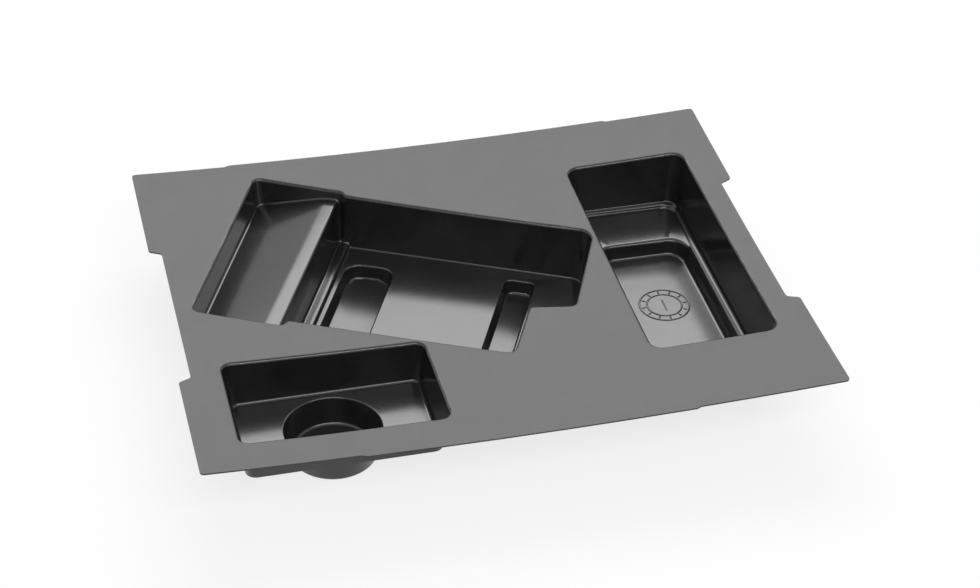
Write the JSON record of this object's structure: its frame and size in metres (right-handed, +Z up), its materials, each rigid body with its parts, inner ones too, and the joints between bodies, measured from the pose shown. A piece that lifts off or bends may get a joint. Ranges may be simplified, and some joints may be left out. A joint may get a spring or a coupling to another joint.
{
  "type": "thermoformed tray",
  "caption": "Thin black plastic insert tray with a gently dished flange, a slanting tool pocket with head rest and slots, a deep stepped pocket and a box pocket with a round cup.",
  "frame": {"origin": "middle of the trimmed outline, on the level that the tray stands on", "axes": "+X to the right along the longer side, +Y to the back, +Z up out of the pockets"},
  "size_m": [0.39, 0.3142, 0.0548],
  "materials": {
    "sheet": "black sheet plastic, formed, with a soft satin gloss"
  },
  "bodies": {
    "root": {"tray": "sheet"}
  },
  "joints": []
}
